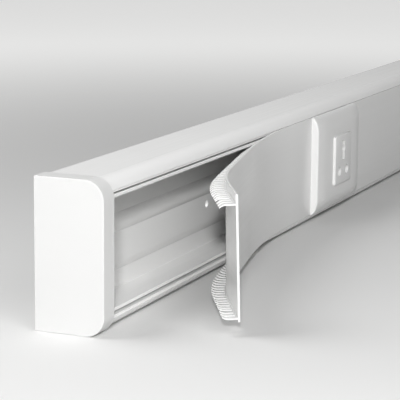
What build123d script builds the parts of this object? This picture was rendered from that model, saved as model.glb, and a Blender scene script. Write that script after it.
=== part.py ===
from build123d import *
import math
import os

# Cord cover raceway, lengths in mm. X runs along the channel, the wall face is y = 0, the cover faces -Y, +Z is up.

# Channel
length = 1000.0  # one retail length, sawn square
height = 105.0
depth = 51.0  # wall face to the face of the cover
wall = 2.2
corner_r = 13.0  # front corners
inner_r = 1.2

# Snap pocket along each front edge, measured inwards from the top or bottom of the channel
step_in = 7.9  # end of the rounded corner
pocket_in = 9.7  # outer side of the pocket
bead_in = 11.6  # bead on the inner lip that the cover snaps past
neck_in = 13.0  # lip behind the bead
lip_in = 14.1  # side of the lip towards the cables
lip_back = 2.4  # front edge of the lip, behind the face of the cover
bead_l = 2.6
floor_back = 0.5  # floor of the pocket, behind the start of the rounded corner
web = 1.8
pocket_wall = 1.6
lip_r = 0.6

# Back wall, stepped up towards a soft rib along the middle
step_raise = 1.2
step_top = 36.8  # from the middle of the wall to the foot of the step
step_run = 6.0  # height over which the step rounds off
rib_raise = 1.6
rib_half = 7.6
rib_run = 4.4

# Screw holes through the back wall
hole_d = 6.5
hole_z = 15.5
low_row_start = 291.0  # first hole of the lower row, from the capped end
high_row_start = 41.0
hole_pitch = 500.0
holes_per_row = 2

# Snap cover
cover_t = 1.6
cover_gap = 0.4  # between the edge of the cover and the rounded corner
edge_r = 0.6
leg_t = 1.2
leg_gap = 0.3  # between the lower leg and the outer side of its pocket
leg_l = 7.4  # from the back of the face to the tip
hook_l = 2.6  # part of the leg that bends inwards
hook_in = 1.5
tongue_gap = 0.8  # between the upper lip and the upper leg, which slides in under it
tongue_l = 10.6
tongue_in = 2.2
bead_gap = 0.1  # round the bead, where the hooks leave the pocket
tooth_pitch = 7.0
slit_w = 3.0
slit_root = 1.2  # solid strip left at the face
notch_w = 6.0  # wider notch near the free end
notch_run = 21.0  # from the free end

# Peeled end of the cover: a bend out of the channel, a straight stretch, a second bend and a straight tail
lift_off = 340.4  # where the cover leaves the channel, from the capped end
first_bend_r = 330.0
first_bend = 11.4  # degrees
flat_l = 138.7
second_bend_r = 164.0
second_bend = 18.6  # degrees
tail_l = 62.5

# End cap
cap_wall = 1.6
cap_rim = 14.4
cap_t = 1.5
cap_gap = 0.1
cap_edge_r = 0.6

# Raised device plate with soft shoulders
plate_start = 418.4  # from the capped end
plate_w = 117.0
plate_raise = 8.5
plate_shoulder_r = 8.2  # along the top and bottom
plate_crown_l = 25.0  # end of the front that falls away gently
plate_crown = 2.0
plate_edge_r = 1.0
plate_front = 3.4
plate_t = 2.2
plate_lap = 12.0  # cover under each end of the plate

# Socket in the plate
insert_w = 45.0
insert_raise = 2.4
insert_edge_r = 0.6
insert_corner_r = 1.5
body_gap = 0.2
body_inset = 1.6  # seat of the insert round the opening
body_l = 28.0
slot_depth = 9.0
earth_w = 4.4
earth_h = 17.0
earth_d = 6.4  # round middle of the upright slot
earth_z = 7.8
pole_d = 7.4
pole_pitch = 20.6
pole_z = 11.0

# Derived
left = -length / 2
half = height / 2
arc_y = corner_r - depth
arc_z = half - corner_r
step_z = half - step_in
pocket_out = half - pocket_in
bead_z = half - bead_in
lip_out = half - neck_in
lip_inner = half - lip_in
lip_y = depth - lip_back
bead_y = lip_y - bead_l
pocket_floor = depth - corner_r - floor_back
step_turn = 90.0 - math.degrees(math.asin((step_z - arc_z) / corner_r))
chamber_r = corner_r - wall
chamber_z = pocket_out + pocket_wall
chamber_turn = 90.0 - math.degrees(math.asin((chamber_z - arc_z) / chamber_r))
step_y = wall + step_raise
rib_y = step_y + rib_raise
seat_y = depth - cover_t
leg_out = pocket_out - leg_gap
leg_in = leg_out - leg_t
tip_y = seat_y - leg_l
cover_half = step_z - cover_gap
tongue_out = lip_inner - tongue_gap
tongue_inner = tongue_out - leg_t
tongue_y = seat_y - tongue_l
slit_l = max(leg_l, tongue_l) + slit_root
slit_y = cover_t + slit_root + slit_l / 2
plate_end = plate_start + plate_w
plate_y = depth + plate_raise
opening_w = insert_w - 2 * body_inset
body_w = opening_w - 2 * body_gap

# Path of the peeled cover, along its outer face
first_l = first_bend_r * math.radians(first_bend)
second_l = second_bend_r * math.radians(second_bend)
lift_x = left + lift_off
cos_1 = math.cos(math.radians(first_bend))
sin_1 = math.sin(math.radians(first_bend))
flat_x = lift_x - first_bend_r * sin_1
flat_y = -depth - first_bend_r * (1 - cos_1)
curl_x = flat_x - flat_l * cos_1
curl_y = flat_y - flat_l * sin_1
first_centre = (lift_x, -depth - first_bend_r, 0)
second_centre = (curl_x + second_bend_r * sin_1, curl_y - second_bend_r * cos_1, 0)
tail_turn = first_bend + second_bend
cos_2 = math.cos(math.radians(tail_turn))
sin_2 = math.sin(math.radians(tail_turn))
tail_x = second_centre[0] - second_bend_r * sin_2
tail_y = second_centre[1] + second_bend_r * cos_2
peel_l = first_l + flat_l + second_l + tail_l

wall_plane = Plane(origin=(0, 0, 0), x_dir=(1, 0, 0), z_dir=(0, -1, 0))
near_plane = Plane(origin=(left, 0, 0), x_dir=(0, 1, 0), z_dir=(1, 0, 0))
lift_plane = Plane(origin=(lift_x, 0, 0), x_dir=(0, 1, 0), z_dir=(1, 0, 0))
far_plane = Plane(origin=(length / 2, 0, 0), x_dir=(0, 1, 0), z_dir=(1, 0, 0))
flat_plane = Plane(
    origin=(flat_x - depth * sin_1, flat_y + depth * cos_1, 0),
    x_dir=(-sin_1, cos_1, 0),
    z_dir=(cos_1, sin_1, 0),
)
curl_plane = Plane(
    origin=(curl_x - depth * sin_1, curl_y + depth * cos_1, 0),
    x_dir=(-sin_1, cos_1, 0),
    z_dir=(cos_1, sin_1, 0),
)
tail_plane = Plane(
    origin=(tail_x - depth * sin_2, tail_y + depth * cos_2, 0),
    x_dir=(-sin_2, cos_2, 0),
    z_dir=(cos_2, sin_2, 0),
)


# Place of a slit in the legs of the peeled cover, by its run along the face from the free end
def slit_spot(run):
    tail_run = tail_l - run
    second_run = tail_run + second_l
    flat_run = second_run + flat_l
    first_run = flat_run + first_l
    if tail_run > 0:
        along = Location((tail_x, tail_y, 0), (0, 0, tail_turn))
        return along * Location((-tail_run, slit_y, 0))
    if second_run > 0:
        turn = first_bend + math.degrees(second_run / second_bend_r)
        return Location(second_centre, (0, 0, turn)) * Location((0, second_bend_r + slit_y, 0))
    if flat_run > 0:
        along = Location((flat_x, flat_y, 0), (0, 0, first_bend))
        return along * Location((-flat_run, slit_y, 0))
    if first_run > 0:
        turn = math.degrees(first_run / first_bend_r)
        return Location(first_centre, (0, 0, turn)) * Location((0, first_bend_r + slit_y, 0))
    return Location((lift_x - first_run, slit_y - depth, 0))


os.makedirs("parts", exist_ok=True)

with BuildPart() as base:
    with BuildSketch(near_plane) as base_section:
        with BuildLine():
            Polyline((0, 0), (0, half), (arc_y, half))
            corner = CenterArc((arc_y, arc_z), corner_r, 90, step_turn)
            Polyline(
                corner @ 1,
                (-seat_y, step_z),
                (-seat_y, pocket_out),
                (-pocket_floor, pocket_out),
                (-pocket_floor, lip_out),
                (-bead_y, lip_out),
                (-bead_y, bead_z),
                (-lip_y, bead_z),
                (-lip_y, lip_inner),
                (web - pocket_floor, lip_inner),
                (web - pocket_floor, half - wall),
                (-wall, half - wall),
                (-wall, step_top),
            )
            step = TangentArc((-step_y, step_top - step_run), (-wall, step_top), tangent=(0, 1))
            rib = TangentArc((-rib_y, rib_half - rib_run), (-step_y, rib_half), tangent=(0, 1))
            Line(step @ 0, rib @ 1)
            Line(rib @ 0, (-rib_y, 0))
            mirror(about=Plane.XZ)
        make_face()
        fillet(base_section.vertices().filter_by_position(Axis.X, -lip_y, -lip_y), lip_r)
        # closed chamber behind each rounded corner
        with BuildLine():
            chamber = CenterArc((arc_y, arc_z), chamber_r, 90, chamber_turn)
            Polyline(
                chamber @ 1,
                (-pocket_floor, chamber_z),
                (-pocket_floor, half - wall),
                chamber @ 0,
            )
        make_face(mode=Mode.SUBTRACT)
        with BuildLine():
            chamber = CenterArc((arc_y, -arc_z), chamber_r, -90, -chamber_turn)
            Polyline(
                chamber @ 1,
                (-pocket_floor, -chamber_z),
                (-pocket_floor, wall - half),
                chamber @ 0,
            )
        make_face(mode=Mode.SUBTRACT)
    extrude(amount=length)
    inner_edges = base.edges().filter_by(Axis.X).filter_by(
        lambda e: abs(abs(e.center().Z) - (half - wall)) < inner_r and abs(e.center().Y + wall) < inner_r
    )
    fillet(inner_edges, inner_r)
    with BuildSketch(wall_plane):
        for i in range(holes_per_row):
            with Locations((left + low_row_start + i * hole_pitch, -hole_z)):
                Circle(hole_d / 2)
            with Locations((left + high_row_start + i * hole_pitch, hole_z)):
                Circle(hole_d / 2)
    extrude(amount=2 * rib_y, mode=Mode.SUBTRACT)
base.part.label = "base"
export_step(base.part, "parts/base.step")

# Section that both covers share: the lower leg hooks behind the bead, the upper one slides in under its lip
with BuildSketch() as cover_section:
    with BuildLine():
        Polyline(
            (-depth, -cover_half),
            (-depth, cover_half),
            (-seat_y, cover_half),
            (-seat_y, tongue_out),
            (-tongue_y - hook_l, tongue_out),
            (-tongue_y, tongue_out - tongue_in),
            (-tongue_y, tongue_inner - tongue_in),
            (-tongue_y - hook_l, tongue_inner),
            (-seat_y, tongue_inner),
            (-seat_y, -leg_in),
            (-tip_y - hook_l, -leg_in),
            (-tip_y, hook_in - leg_in),
            (-tip_y, hook_in - leg_out),
            (-tip_y - hook_l, -leg_out),
            (-seat_y, -leg_out),
            (-seat_y, -cover_half),
            (-depth, -cover_half),
        )
    make_face()
    fillet(cover_section.vertices().filter_by_position(Axis.X, -depth, -depth), edge_r)

with BuildPart() as peeled_cover:
    clipped_l = plate_start + plate_lap - lift_off
    with BuildSketch(lift_plane) as lift_section:
        add(cover_section.sketch)
    extrude(lift_section.sketch, amount=clipped_l)
    # the peeled stretch bends out of the channel about upright lines in front of it
    revolve(lift_section.sketch, axis=Axis(first_centre, (0, 0, 1)), revolution_arc=first_bend)
    with BuildSketch(flat_plane) as flat_section:
        add(cover_section.sketch)
    extrude(flat_section.sketch, amount=-flat_l)
    with BuildSketch(curl_plane) as curl_section:
        add(cover_section.sketch)
    revolve(curl_section.sketch, axis=Axis(second_centre, (0, 0, 1)), revolution_arc=second_bend)
    with BuildSketch(tail_plane) as tail_section:
        add(cover_section.sketch)
    extrude(tail_section.sketch, amount=-tail_l)
    # the hooks that are passing the bead give way to it
    with BuildSketch(lift_plane) as bead_space:
        with Locations((-(lip_y + bead_y) / 2, 0)):
            Rectangle(bead_l + 2 * bead_gap, 2 * (bead_z + bead_gap))
            Rectangle(bead_l + 2 * bead_gap, 2 * lip_inner, mode=Mode.SUBTRACT)
    extrude(bead_space.sketch, amount=-peel_l, mode=Mode.SUBTRACT)
    # one slit behind each tooth, counted from the free end
    slit_count = int((peel_l + clipped_l) / tooth_pitch)
    with Locations(*[slit_spot(i * tooth_pitch) for i in range(1, slit_count + 1)]):
        Box(slit_w, slit_l, height, mode=Mode.SUBTRACT)
    with Locations(slit_spot(notch_run)):
        Box(notch_w, slit_l, height, mode=Mode.SUBTRACT)
peeled_cover.part.label = "peeled_cover"
export_step(peeled_cover.part, "parts/peeled_cover.step")

with BuildPart() as closed_cover:
    closed_l = length - plate_end + plate_lap
    with BuildSketch(far_plane):
        add(cover_section.sketch)
    extrude(amount=-closed_l)
    closed_count = int(closed_l / tooth_pitch)
    with Locations((length / 2 - closed_l / 2, slit_y - depth, 0)):
        with GridLocations(tooth_pitch, height, closed_count, 1):
            Box(slit_w, slit_l, height, mode=Mode.SUBTRACT)
closed_cover.part.label = "closed_cover"
export_step(closed_cover.part, "parts/closed_cover.step")

with BuildPart() as end_cap:
    cap_out = cap_t + cap_gap
    with BuildSketch(near_plane.offset(-cap_wall)):
        with BuildLine():
            Polyline((0, 0), (0, half + cap_out), (arc_y, half + cap_out))
            rim_arc = CenterArc((arc_y, arc_z), corner_r + cap_out, 90, 90)
            Line(rim_arc @ 1, (-depth - cap_out, 0))
            mirror(about=Plane.XZ)
        make_face()
    extrude(amount=cap_wall + cap_rim)
    with BuildSketch(near_plane):
        with BuildLine():
            Polyline((0, 0), (0, half + cap_gap), (arc_y, half + cap_gap))
            cavity_arc = CenterArc((arc_y, arc_z), corner_r + cap_gap, 90, 90)
            Line(cavity_arc @ 1, (-depth - cap_gap, 0))
            mirror(about=Plane.XZ)
        make_face()
    extrude(amount=cap_rim, mode=Mode.SUBTRACT)
    face_edges = end_cap.faces().sort_by(Axis.X)[0].edges().filter_by(lambda e: e.center().Y < -cap_gap)
    fillet(face_edges, cap_edge_r)
end_cap.part.label = "end_cap"
export_step(end_cap.part, "parts/end_cap.step")

with BuildPart() as device_plate:
    plate_x0 = left + plate_start
    plate_x1 = left + plate_end
    plate_x = (plate_x0 + plate_x1) / 2
    crown_y = plate_crown - plate_y
    plate_back = Plane(origin=(plate_x, -depth, 0), x_dir=(1, 0, 0), z_dir=(0, -1, 0))
    with BuildSketch(near_plane.offset(plate_start)) as plate_side:
        with Locations((-depth - plate_raise / 2, 0)):
            Rectangle(plate_raise, 2 * cover_half)
        fillet(plate_side.vertices().filter_by_position(Axis.X, -plate_y, -plate_y), plate_shoulder_r)
    extrude(amount=plate_w)
    # the front falls away towards both ends
    with BuildSketch(Plane.XY.offset(-half)) as plate_plan:
        with BuildLine():
            crown_0 = TangentArc((plate_x0 + plate_crown_l, -plate_y), (plate_x0, crown_y), tangent=(-1, 0))
            Polyline(crown_0 @ 1, (plate_x0, -depth), (plate_x1, -depth), (plate_x1, crown_y))
            crown_1 = TangentArc((plate_x1 - plate_crown_l, -plate_y), (plate_x1, crown_y), tangent=(1, 0))
            Line(crown_0 @ 0, crown_1 @ 0)
        make_face()
        fillet(plate_plan.vertices().filter_by_position(Axis.Y, crown_y, crown_y), plate_edge_r)
    extrude(plate_plan.sketch, amount=height, mode=Mode.INTERSECT)
    with BuildSketch(plate_back):
        Rectangle(plate_w - 2 * plate_t, 2 * (leg_in - leg_t))
    extrude(amount=plate_raise - plate_front, mode=Mode.SUBTRACT)
    # legs of the plate, in the same pockets as the cover
    with BuildSketch(near_plane.offset(plate_start + plate_w / 2)):
        with BuildLine():
            Polyline(
                (-depth, leg_in),
                (-depth, cover_half),
                (-seat_y, cover_half),
                (-seat_y, leg_out),
                (-tip_y - hook_l, leg_out),
                (-tip_y, leg_out - hook_in),
                (-tip_y, leg_in - hook_in),
                (-tip_y - hook_l, leg_in),
                (-depth, leg_in),
            )
        make_face()
        mirror(about=Plane.XZ)
    extrude(amount=plate_w / 2 - plate_lap - cover_gap, both=True)
    with BuildSketch(plate_back):
        Rectangle(opening_w, opening_w)
    extrude(amount=plate_raise, mode=Mode.SUBTRACT)
device_plate.part.label = "device_plate"
export_step(device_plate.part, "parts/device_plate.step")

with BuildPart() as socket_insert:
    insert_back = Plane(origin=(plate_x, -plate_y, 0), x_dir=(1, 0, 0), z_dir=(0, -1, 0))
    with BuildSketch(insert_back):
        RectangleRounded(insert_w, insert_w, insert_corner_r)
    extrude(amount=insert_raise)
    fillet(socket_insert.faces().sort_by(Axis.Y)[0].edges(), insert_edge_r)
    with BuildSketch(insert_back):
        Rectangle(body_w, body_w)
    extrude(amount=-body_l)
    with BuildSketch(insert_back.offset(insert_raise)):
        with Locations((0, earth_z)):
            Rectangle(earth_w, earth_h)
            Circle(earth_d / 2)
        with Locations((-pole_pitch / 2, -pole_z), (pole_pitch / 2, -pole_z)):
            Circle(pole_d / 2)
    extrude(amount=-slot_depth, mode=Mode.SUBTRACT)
socket_insert.part.label = "socket_insert"
export_step(socket_insert.part, "parts/socket_insert.step")
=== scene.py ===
import math
from contextlib import contextmanager

import bmesh
import bpy
from mathutils import Matrix, Vector


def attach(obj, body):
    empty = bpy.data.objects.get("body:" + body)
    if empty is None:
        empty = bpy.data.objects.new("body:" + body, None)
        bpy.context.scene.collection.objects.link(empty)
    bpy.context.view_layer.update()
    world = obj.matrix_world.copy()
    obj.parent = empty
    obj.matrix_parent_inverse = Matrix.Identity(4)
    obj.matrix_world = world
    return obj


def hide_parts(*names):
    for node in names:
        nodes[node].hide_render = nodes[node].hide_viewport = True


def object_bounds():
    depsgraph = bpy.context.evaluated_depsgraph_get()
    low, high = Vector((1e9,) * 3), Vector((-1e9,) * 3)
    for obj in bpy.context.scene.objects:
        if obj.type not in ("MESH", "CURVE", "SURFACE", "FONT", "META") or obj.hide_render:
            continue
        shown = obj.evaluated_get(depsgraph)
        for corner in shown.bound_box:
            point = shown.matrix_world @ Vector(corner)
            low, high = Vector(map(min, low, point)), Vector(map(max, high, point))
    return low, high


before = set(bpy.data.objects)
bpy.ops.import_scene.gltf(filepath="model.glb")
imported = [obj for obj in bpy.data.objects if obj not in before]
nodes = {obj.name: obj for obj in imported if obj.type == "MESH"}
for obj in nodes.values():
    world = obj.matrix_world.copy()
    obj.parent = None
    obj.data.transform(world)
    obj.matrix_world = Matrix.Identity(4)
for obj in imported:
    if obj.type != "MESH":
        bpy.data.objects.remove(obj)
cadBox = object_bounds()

print("frame loaded:", ", ".join(sorted(nodes)))


class Sock:  # a node socket that takes part in sums
    def __init__(self, tree, out):
        self.tree, self.out = tree, out

    def math(self, operation, *others, swap=False):
        node = self.tree.nodes.new("ShaderNodeMath")
        node.operation = operation
        terms = [*others, self] if swap else [self, *others]
        for slot, term in zip(node.inputs, terms):
            plug(self.tree, slot, term)
        return Sock(self.tree, node.outputs[0])

    def __add__(self, other): return self.math("ADD", other)
    def __radd__(self, other): return self.math("ADD", other, swap=True)
    def __sub__(self, other): return self.math("SUBTRACT", other)
    def __rsub__(self, other): return self.math("SUBTRACT", other, swap=True)
    def __mul__(self, other): return self.math("MULTIPLY", other)
    def __rmul__(self, other): return self.math("MULTIPLY", other, swap=True)
    def __truediv__(self, other): return self.math("DIVIDE", other)
    def between(self, low, high): return self.math("MAXIMUM", low).math("MINIMUM", high)
    def above(self, level): return self.math("GREATER_THAN", level)
    def near(self, level): return self.math("COMPARE", level, 0.5)  # for whole numbers
    def sin(self): return self.math("SINE")
    def cos(self): return self.math("COSINE")


def plug(tree, slot, value):
    if isinstance(value, Sock):
        tree.links.new(value.out, slot)
    else:
        slot.default_value = value


class Sheet:  # a node tree under construction, for a finish or for a shape
    def __init__(self, tree):
        self.tree = tree

    def node(self, kind, settings=None, out=0, inputs=(), **values):
        made = self.tree.nodes.new(kind)
        for key, value in (settings or {}).items():
            setattr(made, key, value)
        for slot, value in zip(made.inputs, inputs):  # sockets by place
            plug(self.tree, slot, value)
        for key, value in values.items():  # sockets by name; a list is several links
            slot = next(s for s in made.inputs if s.enabled and s.name == key.replace("_", " "))
            for item in value if isinstance(value, list) else [value]:
                plug(self.tree, slot, item)
        if out == "all":
            return [Sock(self.tree, slot) for slot in made.outputs]
        return Sock(self.tree, made.outputs[out])

    def split(self, vector):
        return self.node("ShaderNodeSeparateXYZ", out="all", Vector=vector)

    def mixColour(self, share, first, second):
        return self.node("ShaderNodeMix", {"data_type": "RGBA"}, out=2, Factor=share, A=first, B=second)

    def seenBy(self, *rays):  # 1 for these rays, 0 for the light that falls on things
        first, *others = [self.node("ShaderNodeLightPath", out="Is %s Ray" % ray) for ray in rays]
        return sum(others, first)


class Finish(Sheet):  # one material
    def __init__(self, name):
        self.material = bpy.data.materials.new(name)
        self.material.use_nodes = True
        super().__init__(self.material.node_tree)
        self.shader = self.tree.nodes["Principled BSDF"]

    def place(self):
        return self.node("ShaderNodeTexCoord", out="Object")

    def set(self, **values):
        for key, value in values.items():
            plug(self.tree, self.shader.inputs[key.replace("_", " ")], value)


grainLook = {
    "noiseRough": 0.55, "noiseMean": 0.5, "cloudDetail": 3.0, "lineDetail": 4.0, "pitDetail": 2.0,
    "cloudShare": 0.6, "lineShare": 0.4,
}


def grain(finish, scale, detail, stretch=(1, 1, 1)):  # noise drawn out along the object's axes
    drawn = finish.node("ShaderNodeMapping", Vector=finish.place(), Scale=stretch)
    return finish.node("ShaderNodeTexNoise", Vector=drawn, Scale=scale, Detail=detail,
                       Roughness=grainLook["noiseRough"])


def ribFoot(finish, look, foot, run):  # sharpens the foot of a rib that the solid's back wall has
    across, up = finish.split(finish.place())[1:]
    left = 1 - ((up - foot) / run).between(0.0, 1.0)
    fade = 1 - (up / look["ribFade"]).between(0.0, 1.0)
    nearWall = across.above(look["ribFrom"]) * (1 - across.above(look["ribTo"]))
    return (1 - left * left) * fade * nearWall


def whitePlastic(name, look):
    finish = Finish(name)
    broad = grain(finish, look["cloudScale"], grainLook["cloudDetail"])
    lines = grain(finish, look["lineScale"], grainLook["lineDetail"], look["lineStretch"])
    fine = grain(finish, look["pitScale"], grainLook["pitDetail"])
    tone = broad * grainLook["cloudShare"] + lines * grainLook["lineShare"]
    mean, spread = grainLook["noiseMean"], look["roughSpread"]
    height = (lines * look["lineHeight"] + fine * look["pitHeight"]) * look["relief"]
    for foot, run, rise in look.get("ribs", ()):
        height = height + ribFoot(finish, look, foot, run) * rise
    finish.set(
        Base_Color=finish.mixColour(tone, look["shade"], look["tint"]),
        Roughness=look["rough"] + (lines - mean) * spread + (broad - mean) * spread,
        Normal=finish.node("ShaderNodeBump", Height=height, Strength=1.0, Distance=1.0),
        IOR=look["ior"],
    )
    return finish.material


channelLook = {  # stiff extruded channel, drawn lines along its length; its white is set high, partly its own colour and partly painted light that brightens the shaded inside of the channel; each rib has foot, run and rise
    "shade": (0.900, 0.899, 0.892, 1), "tint": (0.926, 0.926, 0.921, 1),
    "cloudScale": 9.0, "lineScale": 420.0, "lineStretch": (0.012, 1, 1), "pitScale": 2600.0,
    "rough": 0.20, "roughSpread": 0.08, "lineHeight": 0.5, "pitHeight": 0.3, "relief": 2e-6, "ior": 1.50,
    "ribs": ((-0.0070, 0.007, 0.0008), (-0.0368, 0.006, 0.0009)),
    "ribFade": 0.03, "ribFrom": -0.02, "ribTo": -0.001,
}
coverLook = {  # soft extruded cover
    "shade": (0.760, 0.760, 0.754, 1), "tint": (0.800, 0.800, 0.795, 1),
    "cloudScale": 7.0, "lineScale": 300.0, "lineStretch": (0.015, 0.015, 1), "pitScale": 2200.0,
    "rough": 0.20, "roughSpread": 0.06, "lineHeight": 0.6, "pitHeight": 0.25, "relief": 3e-6, "ior": 1.50,
}
mouldedLook = {  # spark-eroded mould finish of the plate, and in other versions for the cap and the socket; the cap's copy is darker, painted shade against the key lamp that falls full on its face
    "shade": (0.755, 0.755, 0.748, 1), "tint": (0.790, 0.790, 0.785, 1),
    "cloudScale": 14.0, "lineScale": 900.0, "lineStretch": (1, 1, 1), "pitScale": 3200.0,
    "rough": 0.48, "roughSpread": 0.08, "lineHeight": 0.3, "pitHeight": 0.7, "relief": 3.6e-5, "ior": 1.48,
}
# the cap's darker white is painted shade: the key lamp lights the cap's left face most
capPaintedShadeLook = dict(mouldedLook, shade=(0.700, 0.700, 0.694, 1), tint=(0.730, 0.730, 0.725, 1))
socketLook = dict(mouldedLook, rough=0.40, cloudScale=22.0, relief=2.4e-5)

finishes = {
    "base": whitePlastic("channel_pvc", channelLook),
    "closed_cover": whitePlastic("cover_pvc", coverLook),
    "end_cap": whitePlastic("cap_white", capPaintedShadeLook),
    "device_plate": whitePlastic("plate_white", mouldedLook),
    "socket_insert": whitePlastic("socket_white", socketLook),
}
finishes["peeled_cover"] = finishes["closed_cover"]
for name, material in finishes.items():
    mesh = nodes[name].data
    mesh.materials.clear()
    mesh.materials.append(material)
print("finishes:", len(set(finishes.values())))


weld = 1e-6  # metres; points nearer than this are one


def addObject(name, data):
    made = bpy.data.objects.new(name, data)
    bpy.context.collection.objects.link(made)
    return made


@contextmanager
def editMesh(mesh):  # a bmesh of the mesh, written back with its faces outward
    shape = bmesh.new()
    shape.from_mesh(mesh)
    yield shape
    bmesh.ops.recalc_face_normals(shape, faces=shape.faces)
    shape.to_mesh(mesh)
    shape.free()


def bakeModifier(piece, modifier):  # the evaluated shape becomes the piece's own mesh
    graph = bpy.context.evaluated_depsgraph_get()
    mesh = bpy.data.meshes.new_from_object(piece.evaluated_get(graph))
    piece.modifiers.remove(modifier)
    piece.data = mesh


def smooth(piece, degrees):  # edges that turn by more than this stay sharp
    piece.data.shade_smooth()
    piece.data.set_sharp_from_angle(angle=math.radians(degrees))


peelLook = {  # metres and degrees; the run is measured from where the cover leaves the channel
    "clippedEnd": -0.0696, "liftOff": -0.1330, "faceY": -0.051, "half": 0.0442, "thick": 0.0016,
    "edge": 0.0006, "edgeSteps": 3, "sharp": 34,
    "reach": 0.3382, "firstRadius": 0.617, "firstTurn": 12.6,
    "crease": 0.2239, "secondRadius": 0.219, "secondTurn": 16.5, "lean": 6.1,
    "station": 0.0034, "root": 0.0028, "rootLap": 0.0002,
    "pitch": 0.007, "tooth": 0.0038, "narrow": 0.0015, "splay": 1.3, "seed": 11,
    "legT": 0.0012, "toothRows": 6, "taper": 0.14, "hook": 0.0026, "hookThin": 0.35,
    "upperZ": 0.0370, "upperTip": 0.0128, "upperIn": -0.0020,
    "lowerZ": -0.0419, "lowerTip": 0.0125, "lowerIn": 0.0015, "beadFrom": 0.075, "beadTo": 0.122,
}


def coverStrip(look):  # the unbent cover without its teeth: x along it, y inwards from its face
    half, thick, edge, root = (look[key] for key in ("half", "thick", "edge", "root"))
    turns = [math.pi / (2 * look["edgeSteps"]) * i for i in range(look["edgeSteps"] + 1)]
    arc = [(edge * (1 - math.cos(turn)), half - edge + edge * math.sin(turn)) for turn in turns]
    ring = [(y, -z) for y, z in reversed(arc)] + arc + [(thick, half)]
    legT = look["legT"] / 2
    for mid in (look["upperZ"], look["lowerZ"]):
        ring += [(thick, mid + legT), (root, mid + legT), (root, mid - legT), (thick, mid - legT)]
    ring += [(thick, -half)]
    first = look["liftOff"] - look["reach"]
    count = round((look["clippedEnd"] - first) / look["station"])
    step = (look["clippedEnd"] - first) / count
    verts = [(first + i * step, y, z) for i in range(count + 1) for y, z in ring]
    size = len(ring)
    faces = [tuple(range(size)), tuple(range(count * size, count * size + size))]
    for low in range(0, count * size, size):
        for j in range(size):
            after = (j + 1) % size
            faces.append((low + j, low + after, low + size + after, low + size + j))
    mesh = bpy.data.meshes.new("peeled_strip")
    mesh.from_pydata(verts, [], faces)
    with editMesh(mesh):
        pass  # only turns the faces outward
    return mesh


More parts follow.
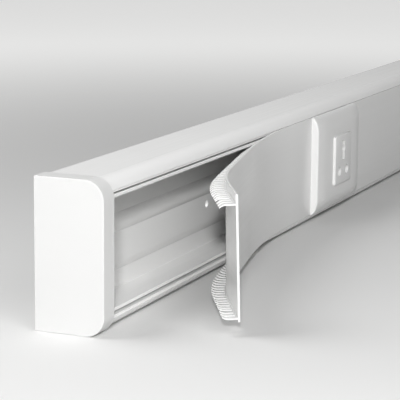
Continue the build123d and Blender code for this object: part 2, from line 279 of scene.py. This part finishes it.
def combTree(look, material):  # adds the teeth to the strip, then folds the whole cover
    group = bpy.data.node_groups.new("combAndFold", "GeometryNodeTree")
    group.is_modifier = True
    face = group.interface
    face.new_socket("Strip", in_out="INPUT", socket_type="NodeSocketGeometry")
    sizes = {
        "Pitch": look["pitch"], "Tooth": look["tooth"], "Splay": math.radians(look["splay"]),
        "Lift Off": look["liftOff"], "Reach": look["reach"], "Crease": look["crease"],
        "First Radius": look["firstRadius"], "First Turn": math.radians(look["firstTurn"]),
        "Second Radius": look["secondRadius"], "Second Turn": math.radians(look["secondTurn"]),
        "Lean": math.radians(look["lean"]), "Seed": look["seed"],
    }
    idents = {}
    for name, value in sizes.items():
        kind = "NodeSocketInt" if isinstance(value, int) else "NodeSocketFloat"
        idents[name] = face.new_socket(name, in_out="INPUT", socket_type=kind).identifier
    face.new_socket("Cover", in_out="OUTPUT", socket_type="NodeSocketGeometry")
    sheet = Sheet(group)
    take = {sock.out.name: sock for sock in sheet.node("NodeGroupInput", out="all")}
    index = sheet.node("GeometryNodeInputIndex")

    def vector(x, y, z):
        return sheet.node("ShaderNodeCombineXYZ", X=x, Y=y, Z=z)

    def tooth(tip, bend):  # one tooth hanging from its root, tapered to its tip
        drop = tip - look["root"] + look["rootLap"]
        bar = sheet.node("GeometryNodeMeshCube", Size=vector(take["Tooth"], drop, look["legT"]),
                         Vertices_X=2, Vertices_Y=look["toothRows"], Vertices_Z=2)
        x, y, z = sheet.split(sheet.node("GeometryNodeInputPosition"))
        along = y + drop / 2
        hook = ((along - (drop - look["hook"])) / look["hook"]).between(0.0, 1.0)
        wide = x * (1 - look["taper"] * along / drop)
        thick = z * (1 - look["hookThin"] * hook)
        shaped = vector(wide, along, thick + bend * hook)
        return sheet.node("GeometryNodeSetPosition", Geometry=bar, Position=shaped)

    def comb(z, shapes, chosen):
        count = int((look["clippedEnd"] - look["liftOff"] + look["reach"]) / look["pitch"])
        firstX = take["Lift Off"] - take["Reach"] + take["Pitch"] / 2
        line = sheet.node("GeometryNodeMeshLine", {"mode": "OFFSET"}, Count=count,
                          Start_Location=vector(firstX, look["root"] - look["rootLap"], z),
                          Offset=vector(take["Pitch"], 0.0, 0.0))
        # the end tooth is wider, and the two beside the notch are narrower
        first, third, fourth = index.near(0.0), index.near(2.0), index.near(3.0)
        shift = (fourth - first - third) * (look["narrow"] / 2)
        width = 1 + (first - third - fourth) * (look["narrow"] / look["tooth"])
        line = sheet.node("GeometryNodeSetPosition", Geometry=line, Offset=vector(shift, 0.0, 0.0))
        splay = sheet.node("FunctionNodeRandomValue", {"data_type": "FLOAT"}, out=1,
                           Min=take["Splay"] * -1, Max=take["Splay"], Seed=take["Seed"])
        return [sheet.node("GeometryNodeInstanceOnPoints", Points=line, Selection=here, Instance=shape,
                           Rotation=vector(splay, 0.0, 0.0), Scale=vector(width, 1.0, 1.0))
                for shape, here in zip(shapes, chosen)]

    def bend(radius, most, run, deep):  # where a point of the straight cover lands past a bend
        turn = (run / radius).between(0.0, most)
        rest = run - turn * radius
        out = (radius + deep) * turn.sin() + rest * turn.cos()
        return out, (radius + deep) * turn.cos() - radius - rest * turn.sin()

    x, y, z = sheet.split(sheet.node("GeometryNodeInputPosition"))
    run = take["Lift Off"] - x
    atBead = run.above(look["beadFrom"]) * (1 - run.above(look["beadTo"]))
    upper = tooth(look["upperTip"], look["upperIn"])
    lower = tooth(look["lowerTip"], look["lowerIn"])
    plain = tooth(look["lowerTip"], 0.0)
    teeth = comb(look["upperZ"], [upper], [True])
    teeth += comb(look["lowerZ"], [lower, plain], [1 - atBead, atBead])
    joined = sheet.node("GeometryNodeJoinGeometry", Geometry=teeth)
    teethMesh = sheet.node("GeometryNodeRealizeInstances", Geometry=joined)
    whole = sheet.node("GeometryNodeJoinGeometry", Geometry=[take["Strip"], teethMesh])

    # the leaning bend near the free end, then the bend out of the channel
    lean, past = take["Lean"], run - take["Crease"]
    across = past * lean.cos() - z * lean.sin()
    beside = past * lean.sin() + z * lean.cos()
    out, deep = bend(take["Second Radius"], take["Second Turn"], across, y)
    bentRun = take["Crease"] + out * lean.cos() + beside * lean.sin()
    bentZ = beside * lean.cos() - out * lean.sin()
    out, deep = bend(take["First Radius"], take["First Turn"], bentRun, deep)
    landed = vector(take["Lift Off"] - out, look["faceY"] + deep, bentZ)
    folded = sheet.node("GeometryNodeSetPosition", Geometry=whole, Position=landed)
    plainMesh = sheet.node("GeometryNodeRealizeInstances", Geometry=folded)
    done = sheet.node("GeometryNodeSetMaterial", Geometry=plainMesh, Material=material)
    sheet.node("NodeGroupOutput", out="all", inputs=[done])
    return group, {idents[name]: value for name, value in sizes.items()}


def peelCover(look, material):
    piece = addObject("peeled_comb_cover", coverStrip(look))
    group, values = combTree(look, material)
    modifier = piece.modifiers.new("combAndFold", "NODES")
    modifier.node_group = group
    for ident, value in values.items():
        modifier[ident] = value
    bakeModifier(piece, modifier)
    smooth(piece, look["sharp"])
    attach(piece, "root")
    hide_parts("peeled_cover")
    print("peeled cover:", len(piece.data.polygons), "faces")


peelCover(peelLook, finishes["peeled_cover"])


plateLook = {  # raised plate, metres; flatRow and wallRow place rows of points beside its curves
    "middle": -0.0231, "wide": 0.117, "back": -0.051, "half": 0.0442, "raise": 0.0085,
    "shoulder": 0.0130, "softness": 1.6, "rows": 18, "flatRow": 0.004, "wallRow": 0.35,
    "crown": 0.0020, "crownRun": 0.025, "crownSteps": 12, "edge": 0.0014, "edgeSteps": 5,
    "opening": 0.0418, "slack": 0.0001, "thick": 0.0022, "sharp": 50,
}


def plateRows(look):  # heights across the plate, and how far each stands up
    flat = look["half"] - look["shoulder"]
    rows = [(0.0, 1.0), (look["opening"] / 2, 1.0), (flat - look["flatRow"], 1.0)]
    for i in range(look["rows"] + 1):
        part = math.sin(math.pi / 2 * i / look["rows"])
        rows.append((flat + look["shoulder"] * part, math.sqrt(max(0.0, 1 - part ** look["softness"]))))
    return [(-z, up) for z, up in reversed(rows[1:])] + rows


def plateColumns(look):  # places along the plate, and the height at each
    low, edge = look["raise"] - look["crown"], look["edge"]
    columns = [(0.0, 0.0), (0.0, low * look["wallRow"]), (0.0, low - edge)]
    for i in range(1, look["edgeSteps"] + 1):
        turn = math.pi / (2 * look["edgeSteps"]) * i
        columns.append((edge * (1 - math.cos(turn)), low - edge * (1 - math.sin(turn))))
    for i in range(1, look["crownSteps"] + 1):
        part = i / look["crownSteps"]
        columns.append((edge + (look["crownRun"] - edge) * part, low + look["crown"] * (1 - (1 - part) ** 2)))
    columns.append(((look["wide"] - look["opening"]) / 2, look["raise"]))
    half = [(x - look["wide"] / 2, up) for x, up in columns]
    return half + [(-x, up) for x, up in reversed(half)]


def makePlate(look, material):
    rows, columns = plateRows(look), plateColumns(look)
    verts = [(look["middle"] + x, look["back"] - up * share, z) for x, up in columns for z, share in rows]
    across = len(rows)
    hole = look["opening"] / 2 - look["slack"]
    faces = []
    for i in range(len(columns) - 1):
        midX = (columns[i][0] + columns[i + 1][0]) / 2
        for j in range(across - 1):
            midZ = (rows[j][0] + rows[j + 1][0]) / 2
            if abs(midX) > hole or abs(midZ) > hole:
                here, beyond = i * across + j, (i + 1) * across + j
                faces.append((here, beyond, beyond + 1, here + 1))
    mesh = bpy.data.meshes.new("raised_plate")
    mesh.from_pydata(verts, [], faces)
    with editMesh(mesh) as shape:
        bmesh.ops.remove_doubles(shape, verts=shape.verts, dist=weld)
        bmesh.ops.dissolve_degenerate(shape, edges=shape.edges, dist=weld)
    mesh.materials.append(material)
    piece = addObject("raised_plate", mesh)
    wall = piece.modifiers.new("wall", "SOLIDIFY")
    wall.thickness, wall.offset = look["thick"], -1.0
    bakeModifier(piece, wall)
    smooth(piece, look["sharp"])
    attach(piece, "root")
    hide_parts("device_plate")
    print("raised plate:", len(piece.data.polygons), "faces")


makePlate(plateLook, finishes["device_plate"])


socketShape = {  # square socket in the plate, metres
    "middle": -0.0231, "front": -0.0619, "wide": 0.045, "flange": 0.0024, "sharp": 40,
    "corner": 0.0015, "cornerSteps": 4, "edge": 0.0006, "edgeSteps": 3,
    "rimTurn": 0.5, "backTurn": 0.9,  # how far a normal leans to y
    "body": 0.0414, "bodyDeep": 0.028, "holeDeep": 0.011, "sides": 40,
    "slot": (0.0062, 0.0176, 0.0078),  # width, height, middle
    "keyway": (0.0088, 0.0092),  # across, middle
    "poles": (0.0090, 0.0206, -0.0110),  # across, spacing, middle
}


def block(name, low, high):
    mesh = bpy.data.meshes.new(name)
    with editMesh(mesh) as shape:
        bmesh.ops.create_cube(shape, size=1.0)
        for vert in shape.verts:
            vert.co = Vector([lo if at < 0 else hi for at, lo, hi in zip(vert.co, low, high)])
    return mesh


def roundHole(name, look, x, z, across):
    mesh = bpy.data.meshes.new(name)
    turn = Matrix.Translation((x, look["front"], z)) @ Matrix.Rotation(math.pi / 2, 4, "X")
    with editMesh(mesh) as shape:
        bmesh.ops.create_cone(shape, cap_ends=True, segments=look["sides"], radius1=across / 2,
                              radius2=across / 2, depth=2 * look["holeDeep"], matrix=turn)
    return mesh


def bevelEdges(shape, edges, size, steps, profile=0.5):  # that profile is a round one
    bmesh.ops.bevel(shape, geom=edges, offset=size, segments=steps, affect="EDGES", profile=profile)


def makeSocket(look, material):
    mid, front, half = look["middle"], look["front"], look["wide"] / 2
    mesh = block("square_socket", (mid - half, front, -half), (mid + half, front + look["flange"], half))
    with editMesh(mesh) as shape:
        upright = [e for e in shape.edges if abs(e.verts[0].co.y - e.verts[1].co.y) > look["flange"] / 2]
        bevelEdges(shape, upright, look["corner"], look["cornerSteps"])
        atFront = [e for e in shape.edges if max(abs(v.co.y - front) for v in e.verts) < weld]
        rim = [e for e in atFront if len(e.link_faces) == 2
               and abs(e.link_faces[0].normal.y - e.link_faces[1].normal.y) > look["rimTurn"]]
        bevelEdges(shape, rim, look["edge"], look["edgeSteps"])
        # the body behind the flange goes on as one step
        back = max((f for f in shape.faces if f.normal.y > look["backTurn"]), key=lambda f: f.calc_area())
        bmesh.ops.inset_region(shape, faces=[back], thickness=half - look["body"] / 2)
        pushed = bmesh.ops.extrude_discrete_faces(shape, faces=[back])["faces"]
        for vert in {v for f in pushed for v in f.verts}:
            vert.co.y += look["bodyDeep"]
    mesh.materials.append(material)
    piece = addObject("square_socket", mesh)
    wide, tall, up = look["slot"]
    deep = look["holeDeep"]
    across, apart, down = look["poles"]
    keyAcross, keyUp = look["keyway"]
    slotLow = (mid - wide / 2, front - deep, up - tall / 2)
    slotHigh = (mid + wide / 2, front + deep, up + tall / 2)
    cutters = [
        block("slot_space", slotLow, slotHigh),
        roundHole("keyway_space", look, mid, keyUp, keyAcross),
        roundHole("left_space", look, mid - apart / 2, down, across),
        roundHole("right_space", look, mid + apart / 2, down, across),
    ]
    tools = [addObject(cutter.name, cutter) for cutter in cutters]
    for tool in tools:
        cut = piece.modifiers.new(tool.name, "BOOLEAN")
        cut.operation, cut.solver, cut.object = "DIFFERENCE", "EXACT", tool
        bakeModifier(piece, cut)
    for tool in tools:
        bpy.data.objects.remove(tool)
    smooth(piece, look["sharp"])
    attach(piece, "root")
    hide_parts("socket_insert")
    print("socket:", len(piece.data.polygons), "faces")


makeSocket(socketShape, finishes["socket_insert"])


stageLook = {  # paper floor; past farFrom it gets its far colour over farRun
    "colour": (0.70, 0.70, 0.695, 1), "rough": 0.8, "roughSpread": 0.05, "cloudScale": 1.2, "span": 14.0,
    "far": (0.60, 0.60, 0.595, 1), "farFrom": 0.15, "farRun": 1.6,
}


def layFloor(look):
    low, half = cadBox[0][2], look["span"] / 2
    mesh = bpy.data.meshes.new("floor")
    corners = [(-half, -half, low), (half, -half, low), (half, half, low), (-half, half, low)]
    mesh.from_pydata(corners, [], [(0, 1, 2, 3)])
    floor = addObject("floor", mesh)
    finish = Finish("floor_paper")
    cloud = grain(finish, look["cloudScale"], grainLook["cloudDetail"])
    # far from the lamps the paper stays pale to the eye, and lights nothing
    away = finish.node("ShaderNodeVectorMath", {"operation": "LENGTH"}, out=1, Vector=finish.place())
    far = ((away - look["farFrom"]) / look["farRun"]).between(0.0, 1.0)
    shown = far * far * (3 - 2 * far) * finish.seenBy("Camera", "Glossy")
    finish.set(
        Base_Color=look["colour"],
        Roughness=look["rough"] + (cloud - grainLook["noiseMean"]) * look["roughSpread"],
        Emission_Color=finish.mixColour(shown, (0, 0, 0, 1), look["far"]),
        Emission_Strength=1.0,
    )
    mesh.materials.append(finish.material)
    print("floor at", round(low, 4))


layFloor(stageLook)


lampAim = (-0.33, -0.04, 0.0)
lampLook = {  # name: place, size, watts
    "key": ((-2.094, -0.766, 0.670), 0.12, 27.5),
    "backSoft": ((-0.688, 0.854, 1.52), 1.2, 16.5),
    "frontLeft": ((-1.433, -1.364, 1.368), 1.4, 18.5),
}
roomLook = {"colour": (0.97, 0.98, 1.0, 1), "strength": 0.02, "seen": (0.60, 0.60, 0.595, 1)}


def hangLamp(name, place, size, watts):
    data = bpy.data.lights.new(name, "AREA")
    data.shape, data.size, data.energy = "DISK", size, watts
    lamp = addObject(name, data)
    lamp.location = place
    lamp.rotation_euler = (Vector(lampAim) - Vector(place)).to_track_quat("-Z", "Y").to_euler()


def paintRoom(look):  # nearly dark as a light, pale where it is seen or mirrored
    room = bpy.data.worlds.new("studio")
    room.use_nodes = True
    sheet = Sheet(room.node_tree)
    seen = sheet.seenBy("Camera", "Glossy", "Transmission").between(0.0, 1.0)
    light = sheet.node("ShaderNodeBackground", Color=look["colour"], Strength=look["strength"])
    shown = sheet.node("ShaderNodeBackground", Color=look["seen"], Strength=1.0)
    mixed = sheet.node("ShaderNodeMixShader", inputs=[seen, light, shown])
    plug(sheet.tree, sheet.tree.nodes["World Output"].inputs["Surface"], mixed)
    bpy.context.scene.world = room


for name, values in lampLook.items():
    hangLamp(name, *values)
paintRoom(roomLook)
print("lamps:", len(lampLook))


viewLook = {  # fitted to the photo; metres, degrees, and millimetres for the lens
    "place": (-1.4766, -0.5380, 0.24795), "yaw": 23.1033, "pitch": 10.7214, "roll": 0.4978,
    "lens": 150.12, "sensor": 36.0, "farthest": 50.0,
}


def setCamera(look):
    data = bpy.data.cameras.new("view")
    data.lens, data.sensor_width, data.clip_end = look["lens"], look["sensor"], look["farthest"]
    camera = addObject("view", data)
    yaw, pitch, roll = (math.radians(look[key]) for key in ("yaw", "pitch", "roll"))
    turn = Matrix.Rotation(yaw - math.pi / 2, 4, "Z") @ Matrix.Rotation(math.pi / 2 - pitch, 4, "X")
    camera.matrix_world = Matrix.Translation(look["place"]) @ turn @ Matrix.Rotation(roll, 4, "Z")
    bpy.context.scene.camera = camera
    print("camera set")


setCamera(viewLook)
bpy.context.scene.view_settings.view_transform = "Standard"
